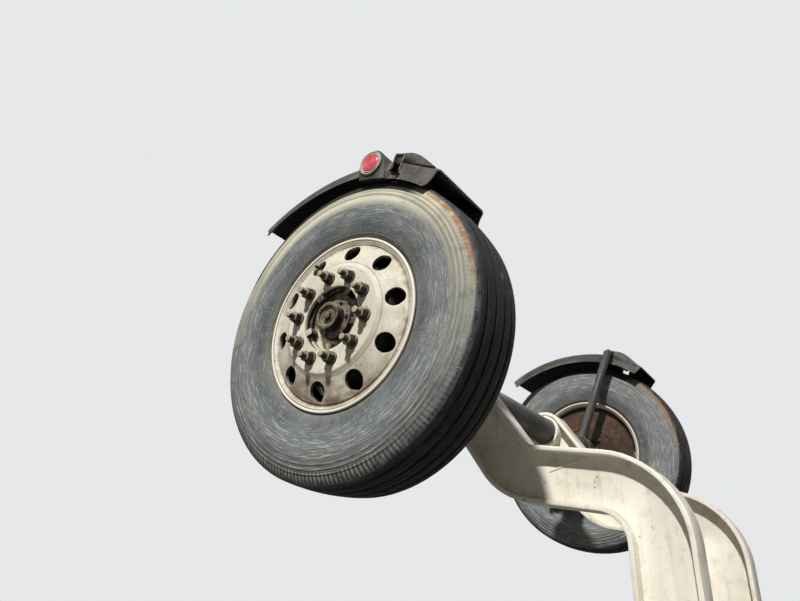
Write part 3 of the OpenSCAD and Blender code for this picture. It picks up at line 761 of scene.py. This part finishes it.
def hole_patch():
    """A tenth of the disc round one hand hole, from the hole's edge to a ring sector's edge."""
    shape = bmesh.new()
    half = 180 / hole_count
    steps = [half * (2 * i / arc_cuts - 1) for i in range(arc_cuts + 1)]
    rungs = [patch_in + (patch_out - patch_in) * i / side_cuts for i in range(1, side_cuts)]
    edge = [polar(patch_in, a) for a in steps] + [polar(r, half) for r in rungs]
    edge += [polar(patch_out, a) for a in steps[::-1]] + [polar(r, -half) for r in rungs[::-1]]
    turns = (180 - 360 * (i - arc_cuts / 2) / len(edge) for i in range(len(edge)))
    hole = [polar(hole_r, 0) + polar(hole_radius, turn) for turn in turns]
    loops = []
    for points in (edge, hole):
        verts = [shape.verts.new(point) for point in points]
        loops.append([shape.edges.new(pair) for pair in zip(verts, verts[1:] + verts[:1])])
    made = bmesh.ops.bridge_loops(shape, edges=loops[0] + loops[1])
    across = [e for e in made["edges"] if e not in loops[0] and e not in loops[1]]
    bmesh.ops.subdivide_edges(shape, edges=across, cuts=5, use_grid_fill=True)
    return shape


def disc_shape():
    """The disc's face with its holes, then its thickness and its rounded edges."""
    shape = copies(hole_patch(), hole_count)
    for vert in shape.verts:
        vert.co.y = dish(math.hypot(vert.co.x, vert.co.z))
    middle = [(r, dish(r), 0) for r in (bore_r, 128, 150, 170, *range(180, patch_in, 2), patch_in)]
    edge_w = dish(patch_out)
    skirt = [(patch_out, edge_w, 0), (271.6, edge_w - 2.6, 0), (273.6, edge_w - 6.5, 0), (274, edge_w - 11, 0),
             (271, 90, 0), (266, 68, 0), (265.6, 54, 0)]
    for section in (middle, skirt):
        take_in(shape, spun(wire(section, closed=False), hole_count * arc_cuts))
    moved(shape, Matrix.Rotation(-math.radians(hole_first), 4, "Y"))
    bmesh.ops.remove_doubles(shape, verts=shape.verts, dist=0.05)
    bmesh.ops.recalc_face_normals(shape, faces=shape.faces)
    if sum(face.normal.y for face in shape.faces) < 0:
        bmesh.ops.reverse_faces(shape, faces=shape.faces)
    bmesh.ops.solidify(shape, geom=shape.faces[:], thickness=disc_t)
    bmesh.ops.recalc_face_normals(shape, faces=shape.faces)
    corners = [e for e in shape.edges if e.is_manifold and e.calc_face_angle() > math.radians(50)]
    return bevelled(shape, corners, disc_edge)


for side, sign in sides:
    disc = place(disc_shape(), sign)
    piece(disc, f"disc_{side}_pressed", f"wheel_{side}", wheel_enamel, [f"disc_{side}"])

# Hub, drum and oil cap
# Grey iron castings, machined where they seat. The hub is dark with grease, with the wheel's cream sprayed over its
# flange, laid only in the lower left of its pit as a painted patch of light. The oil cap of pressed steel stands on
# its nose, held by six flange screws, with a hexagon plug.
cast_edge = 0.0016
cast_fillet = 0.004
cap_screws = 6
cap_screw_circle = 55.5
cap_seat = 131.8
cap_top = 171.8
pit_r = 0.068
cap_profile = [
    (0, cap_seat, 0), (66, cap_seat, 1), (66, cap_seat + 5, 1.5), (50, cap_seat + 6, 2), (46, cap_seat + 10, 2.5),
    (44, cap_top - 14, 1), (46, cap_top - 12, 1), (46, cap_top - 1.5, 1.5), (42, cap_top, 2), (36, cap_top, 1.5),
    (33, cap_top - 2.5, 1), (31.5, cap_top - 8, 1.5), (26.5, cap_top - 9, 0.6), (25.5, cap_top - 11, 0.6),
    (23, cap_top - 11, 0.6), (22, cap_top - 8.6, 0.6), (18, cap_top - 8.2, 1.5), (16, cap_top - 10, 1),
    (0, cap_top - 10, 0),
]


def oily_iron(name, sprayed=None):
    """Greasy cast iron: near black, with tan dust stuck on what looks up or outboard, and rust at edges.
    A mask made by sprayed tells where the wheel's enamel lies over it; on the hub that enamel is also a painted
    patch of light."""
    material, tree, shader, where = new_material(name)
    faces_out = outward(where)
    film = patches(where, 0.03, 0.40, 0.64)
    rust_spots = patches(where, 0.012, 0.52, 0.66, 8.0)
    stuck = scaled(faces_out, patches(where, 0.02, 0.34, 0.60))
    settled = scaled(upward(tree, 0.1, 0.9), patches(where, 0.025, 0.30, 0.56))
    coats = [
        (film, 0.35, "#352d27"), (rust_spots, 0.5, "#553a28"), (stuck, 0.62, "#8a7b61"), (settled, 0.9, "#a2947a"),
    ]
    if sprayed:
        coats.append((faces_out, sprayed(where), "#c6bca2"))
    painted(shader, coated("#130f0e", *coats), 0.42, 0.8, film)
    shader.inputs["Metallic"].default_value = 0.2
    roughened(shader, where, 0.003, 7.0, 0.0006)
    return material


def flange_spray_and_light(where):
    """Enamel that the spray gun left on the hub's flange and pads, laid only in the lower left part round its pit,
    as a painted patch of light.
    """
    radius, _, angle, _ = about_wheel(where)
    return scaled(band(radius, pit_r, 0.2, 0.002), sector(angle, -172, -92, 7))


def tip_spray(where):
    """Enamel and dust on the tips of the studs and on the nuts' ends."""
    _, station, _, _ = about_wheel(where)
    tips = scaled(band(station, 0.2030, 0.21, 0.0005), 0.6)
    return strongest(tips, scaled(band(station, 0.1775, 0.1835, 0.0008), 0.3))


def brake_iron():
    """Grey cast iron of a brake drum: scaled by heat and black with brake dust, with a little dark rust."""
    material, _, shader, where = new_material("brake_iron")
    scale = patches(where, 0.03, 0.42, 0.62, 9.0)
    painted(shader, coated("#120f0d", (scale, 0.6, "#2c1f17")), 0.9)
    roughened(shader, where, 0.004, 8.0, 0.0008)
    return material


def hexagon(across, height, at, chamfer):
    """A hexagon head standing outboard from a point."""
    shape = bmesh.new()
    corner = across / math.sqrt(3)
    bmesh.ops.create_cone(
        shape, cap_ends=True, segments=6, radius1=corner, radius2=corner, depth=height,
        matrix=Matrix.Rotation(-math.pi / 2, 4, "X"),
    )
    bevelled(shape, [e for e in shape.edges if all(v.co.y > 0 for v in e.verts)], chamfer)
    return moved(shape, Matrix.Translation(Vector(at) + Vector((0, height / 2, 0))))


def turned(points, steps, at=(0, 0, 0)):
    """A solid turned from (radius, station, rounding) points that start and end on its axis."""
    return moved(spun(wire(points, closed=False), steps), Matrix.Translation(at))


def flange_screw(across, at=(0, 0, 0)):
    """A small hexagon screw with its flange."""
    flange = across * 0.75
    shape = turned([(0, -1, 0), (flange, -1, 0), (flange, 1.2, 0.4), (flange * 0.8, 2.2, 0.4), (0, 2.2, 0)], 16, at)
    take_in(shape, hexagon(across, across * 0.62, Vector(at) + Vector((0, 1, 0)), across * 0.08))
    return shape


greasy = oily_iron("oily_iron")
# The hub's enamel is a painted patch of light in the lower left of its pit.
sprayed_and_lit_hub = oily_iron("oversprayed_and_lit_iron", flange_spray_and_light)
burnt = brake_iron()
for side, sign in sides:
    for part, material, slot in (("hub", sprayed_and_lit_hub, "hub_iron"), ("brake_drum", burnt, "bare_iron")):
        worked(f"{part}_{side}", "cast", f"wheel_{side}", material, slot, edge=cast_edge, weld=cast_fillet)
    cap = turned(cap_profile, 96)
    take_in(cap, hexagon(24, 12, (0, cap_top - 11, 0), 1.6))
    take_in(cap, copies(flange_screw(11, (cap_screw_circle, cap_seat + 5.6, 0)), cap_screws))
    piece(place(cap, sign), f"oil_cap_{side}_pressed", f"wheel_{side}", greasy, [f"hub_cap_{side}"])

# Wheel nuts and studs
# Ten rolled-thread studs of quenched steel with two-piece flange nuts. Their washers' edges are polished by
# turning, and their flats hold dust and rust. The thread is drawn coarser than the real one, so that it shows.
stud_count = 10
stud_first = 98
stud_circle = 285.75 / 2
stud_tip = 204.4
first_land = stud_tip - 2.5
nut_top = disc_face + 29.6
thread_pitch = 2.3


def wheel_nut():
    """One stud with its nut, from its head behind the hub's flange to its threaded tip."""
    thread = [(0, stud_tip, 0), (8.2, stud_tip, 0.8)]
    for i in range(int((first_land - nut_top) / thread_pitch) + 1):
        top = first_land - i * thread_pitch
        thread += [(11, top, 0), (11, top - 0.7, 0), (9.9, top - 1.5, 0)]
    shank = thread + [(11, nut_top - 4, 0), (11, 113.5, 0), (16, 112.3, 0), (16, 103.8, 1), (0, 103.8, 0)]
    shape = turned(shank, 24)
    washer = [(0, disc_face, 0), (23, disc_face, 0), (23, 155.4, 0.8), (20.6, 157.4, 1.2), (0, 157.4, 0)]
    take_in(shape, turned(washer, 32))
    take_in(shape, hexagon(33, 23.4, (0, 157, 0), 2.2))
    collar = [(0, 179, 0), (15.2, 179.6, 0.5), (14.2, nut_top, 0.5), (0, nut_top, 0)]
    take_in(shape, turned(collar, 24))
    return shape


tipped = oily_iron("oversprayed_nuts", tip_spray)
for side, sign in sides:
    nuts = copies(moved(wheel_nut(), Matrix.Translation(polar(stud_circle, 0))), stud_count)
    moved(nuts, Matrix.Rotation(-math.radians(stud_first), 4, "Y"))
    piece(place(nuts, sign), f"nuts_{side}_forged", f"wheel_{side}", tipped, [f"studs_{side}"])

# Brake plates and air chambers
# A pressed steel plate with a rolled lip closes each drum. The air chamber's two halves are pressed from
# sheet steel and held by a clamp ring.
plate_face = -80
plate_lip = [(244, -77, 0), (261, -77, 2), (268, -84, 1), (266.5, -85, 0.5), (259.5, -79.5, 2), (244, -79.5, 0)]
plate_bolts = 8
plate_bolt_circle = 104
stiffener = [(150, -79.5, 0), (153, -83.5, 2), (161, -83.5, 2), (164, -79.5, 0), (157, -78, 0)]
for side, sign in sides:
    node = f"brake_plate_{side}"
    plate = from_frame(node)
    for profile in (plate_lip, stiffener):
        take_in(plate, place(spun(wire(profile), 96), sign))
    bolt = flange_screw(17, (plate_bolt_circle, 0, 0))
    moved(bolt, Matrix.Translation((0, plate_face - 0.6, 0)) @ Matrix.Rotation(math.pi, 4, "X"))
    take_in(plate, place(copies(bolt, plate_bolts), sign))
    piece(plate, f"{node}_pressed", "swing_frame", rust, [node])
    worked(f"brake_chamber_{side}", "pressed", "swing_frame", chassis, "axle_paint")

# Tyre valve
# A bent brass stem from the rim's well, brought out through a hand hole, with a ribbed cap.
stem_edge = 0.0008
stem_at = polar(236, hole_first + 360 / hole_count)
ridge_pitch = 2.4
valve_cap = [(0, 135, 0), (5.4, 135, 0.5)]
for step in range(4):
    valve_cap += [(r, w + ridge_pitch * step, 0) for r, w in ((5.4, 136.5), (4.8, 137.2), (5.4, 137.9))]
valve_cap += [(5.4, 147, 1), (0, 147.6, 0)]
for side, sign in sides:
    node = f"valve_{side}"
    valve = from_frame(node, edge=stem_edge)
    take_in(valve, place(turned(valve_cap, 20, stem_at), sign))
    piece(valve, f"{node}_brass", f"wheel_{side}", greasy, [node])

# Mudguard
# A shell rotationally moulded in black polyethylene, with a hump over its stay's tunnel and a pod for the
# marker lamp. Its skin is matt and finely grained, and cement dust lies on all that looks up or outboard.
# A flap closes the tunnel inboard, pale bars round its open mouth are a painted highlight, and two bolts hold the
# hump's roof.
skin_edge = 0.0018
skin_fillet = 0.004
tunnel_angle = 67.8
tunnel_span = (534, 603)
tunnel_w = 37.6
flap_station = -170
mouth_station = 130.2
highlight_span = (540, 606.5)
highlight_width = 4.6
roof_r = 610
roof_bolts = (60, -110)


def dusty_polyethylene():
    """Moulded black polyethylene: fine orange-peel grain, chalky with dust outside but near black on the lamp's
    pod, deep black inside.
    """
    material, tree, shader, where = new_material("dusty_polyethylene")
    normal = add(tree, "TexCoord").outputs["Normal"]
    _, _, angle, away = about_wheel(where)
    out = add(tree, "VectorMath", {0: normal, 1: away}, operation="DOT_PRODUCT").outputs["Value"]
    side_on = scaled(*(add(tree, "SeparateXYZ", {0: way}).outputs["Y"] for way in (normal, where)))
    outside = strongest(out, side_on)
    exposed = add(tree, "MapRange", {"Value": outside, "From Min": 0.05, "From Max": 0.45}).outputs[0]
    cloud = patches(where, 0.05, 0.30, 0.66)
    speckle = patches(where, 0.006, 0.46, 0.62, 8.0)
    tone = coated(
        "#0f0f10",
        (scaled(exposed, cloud), 0.70, "#35322d"),
        (scaled(exposed, speckle), 0.40, "#6b6558"),
        (scaled(upward(tree, 0.2, 0.9), cloud), 0.7, "#6d6658"),
        # Near black on the exposed faces of the lamp's pod, between 72 and 84 degrees round the wheel.
        (scaled(sector(angle, 72, 84, 1), exposed), 0.85, "#161514"),
    )
    painted(shader, tone, 0.66)
    roughened(shader, where, 0.0025, 4.0, 0.0005)
    return material


def stand(shape, at, way):
    """Turns a shape that stands outboard so that it stands along a direction, at a place."""
    return moved(shape, Matrix.Translation(at) @ Vector(way).to_track_quat("Y", "Z").to_matrix().to_4x4())


polyethylene = dusty_polyethylene()
tunnel_way = polar(1, tunnel_angle)
half_mouth = polar(tunnel_w / 2 + 2, tunnel_angle + 90)
for side, sign in sides:
    node = f"mudguard_{side}"
    shell = from_frame(node, edge=skin_edge, weld=skin_fillet)
    take_in(shell, place(bar(*(polar(r, tunnel_angle, flap_station) for r in tunnel_span), tunnel_w, 3), sign))
    for station in roof_bolts:
        bolt = stand(flange_screw(16), polar(roof_r + 0.6, tunnel_angle, station), tunnel_way)
        take_in(shell, place(bolt, sign))
    piece(shell, f"{node}_moulded", "swing_frame", polyethylene, [node])
    # Pale bars round the tunnel's open mouth: a painted highlight on its edges.
    mouth_highlight = bmesh.new()
    feet, tops = ([polar(r, tunnel_angle, mouth_station) + way * half_mouth for way in (-1, 1)] for r in highlight_span)
    for ends in (*zip(feet, tops), tops):
        take_in(mouth_highlight, bar(*ends, highlight_width, highlight_width))
    piece(place(mouth_highlight, sign), f"tunnel_mouth_highlight_{side}_caked", "swing_frame", dust)

# Mudguard stay
# A post and a cross stay of steel tube on a split collar round the axle, welded and painted chassis black.
stay_weld = 0.007
for side, _ in sides:
    worked(f"guard_bracket_{side}", "welded", "swing_frame", chassis, "axle_paint", weld=stay_weld)

# Marker lamp
# A round lamp in a grommet of grey rubber: a moulded red acrylic lens with rings on its face.
lamp_at = (121, 0, 551)
pod_face = 151.8
ring_pitch = 6
ring_rise = 0.25
# Sections of the grommet and of the lens, with their heights above the pod's face
grommet_ring = [
    (33.3, 0, 0), (33.3, 7, 1), (35.2, 9.6, 1.2), (37.6, 8.8, 1), (38.8, 6, 1), (40.8, 6, 1),
    (42, 8.6, 1), (44.6, 8.8, 1.2), (46.6, 6, 1.5), (47, 0, 0),
]
lens_dome = [(0, -14, 0), (33, -14, 0), (33, 8.5, 1.5), (29, 10.4, 1)]
for step in range(4):
    lens_dome += [
        (r - ring_pitch * step, h + ring_rise * step, 0) for r, h in ((27, 10.9), (26, 10.1), (25, 11))
    ]
lens_dome.append((0, 11.9, 0))


def red_acrylic():
    """Moulded red acrylic: glossy, with a film of dust."""
    material, _, shader, where = new_material("red_acrylic")
    film = patches(where, 0.012, 0.30, 0.75)
    painted(shader, coated("#d42a40", (film, 0.45, "#df8087")), 0.12, 0.4, film)
    shader.inputs["Coat Weight"].default_value = 0.4
    return material


def grey_rubber():
    """Moulded grey rubber, pale on the faces that look outboard and dark on the others, and dusty in its groove."""
    material, _, shader, where = new_material("grey_rubber")
    cloud = patches(where, 0.02, 0.35, 0.65)
    tone = coated("#5c5549", (outward(where), 1.0, "#cbc4b5"), (cloud, 0.5, "#8f8778"))
    painted(shader, tone, 0.8)
    roughened(shader, where, 0.002, 3.0, 0.0003)
    return material


acrylic = red_acrylic()
grommet_rubber = grey_rubber()
for side, sign in sides:
    ring, profile = (
        [(r, pod_face + h, rounding) for r, h, rounding in section] for section in (grommet_ring, lens_dome)
    )
    grommet = place(moved(spun(wire(ring), 64), Matrix.Translation(lamp_at)), sign)
    piece(grommet, f"lamp_grommet_{side}", "swing_frame", grommet_rubber, [f"lamp_bezel_{side}"])
    dome = place(turned(profile, 64, lamp_at), sign)
    piece(dome, f"lamp_lens_{side}_moulded", "swing_frame", acrylic, [f"lamp_lens_{side}"])

# Fastenings
# Bought-in steel parts on the frame: the pivot pins' keepers and grease nipples, the clamp bolts of the air
# chambers and of the stays' collars, the chambers' air ports, and the clevis pins of the slack adjusters.
pin_end = Vector((727, -538, -1500))
keeper_middle = Vector((727, -549, -1450))
half_keeper = Vector((22, 0, 0))
keeper_size = (16, 6)
keeper_screws = (-14, 14)
collar_reach = 77.5
collar_station = -219.2
collar_bolts = (-13, 13)
cam_place = Vector((-19, -300.2, -108))
cam_end = -20
clevis_place = cam_place + polar(150, 190)
rod_way = polar(1, 100)
clamp_height = 157
clamp_reach = 86.5
clamp_heads = ((8, -17), (7, 10))  # height and station of a bolt's head and of its nut
port_height = 183
port_inboard = -68
half_ports = polar(30, 190)
nipple = [
    (0, -1, 0), (7, -1, 0), (7, 4, 0.6), (4, 4.5, 0), (4, 7, 0.4), (2.6, 8, 0), (3.8, 10, 0.6),
    (2.2, 12.5, 0.5), (0, 13, 0),
]
clevis_pin = [
    (0, -19, 0), (11, -19, 1), (11, -14.5, 0), (7, -14.5, 0), (7, 14.5, 0), (11, 14.5, 0), (11, 19, 1), (0, 19, 0),
]
bolt_shank = [(0, -21, 0), (4.8, -21, 0.8), (4.8, 18, 0), (0, 18, 0)]
port_neck = [(0, 7, 0), (7, 7, 0), (7, 9, 0.5), (5, 10, 0), (5, 17, 1), (0, 17.5, 0)]

for side, sign in sides:
    keeper = turned(nipple, 16, pin_end)
    take_in(keeper, bar(keeper_middle - half_keeper, keeper_middle + half_keeper, *keeper_size))
    for x in keeper_screws:
        take_in(keeper, flange_screw(11, keeper_middle + Vector((x, 3, 0))))
    piece(place(keeper, sign), f"pivot_keeper_{side}", "frame_hanger", rust)
    fitted = bmesh.new()
    for step in collar_bolts:
        at = polar(collar_reach, tunnel_angle + 180, collar_station + step)
        take_in(fitted, stand(flange_screw(17), at, polar(1, tunnel_angle + 180)))
    take_in(fitted, turned(clevis_pin, 20, clevis_place))
    take_in(fitted, stand(flange_screw(24), cam_place + Vector((0, cam_end, 0)), (0, -1, 0)))
    for way in (-1, 1):
        at = clevis_place + clamp_height * rod_way + Vector((0, way * clamp_reach, 0))
        bolt = turned(bolt_shank, 12)
        for height, station in clamp_heads:
            take_in(bolt, hexagon(14, height, (0, station, 0), 0.8))
        take_in(fitted, stand(bolt, at, rod_way))
        take_in(fitted, bar(at - Vector((0, way * 6, 0)), at + Vector((0, way * 9, 0)), 20, 20))
        port = hexagon(19, 12, (0, -4, 0), 1)
        take_in(port, turned(port_neck, 16))
        at = clevis_place + port_height * rod_way + way * half_ports + Vector((0, port_inboard, 0))
        take_in(fitted, stand(port, at, (0, -1, 0)))
    piece(place(fitted, sign), f"fastenings_{side}", "swing_frame", greasy)
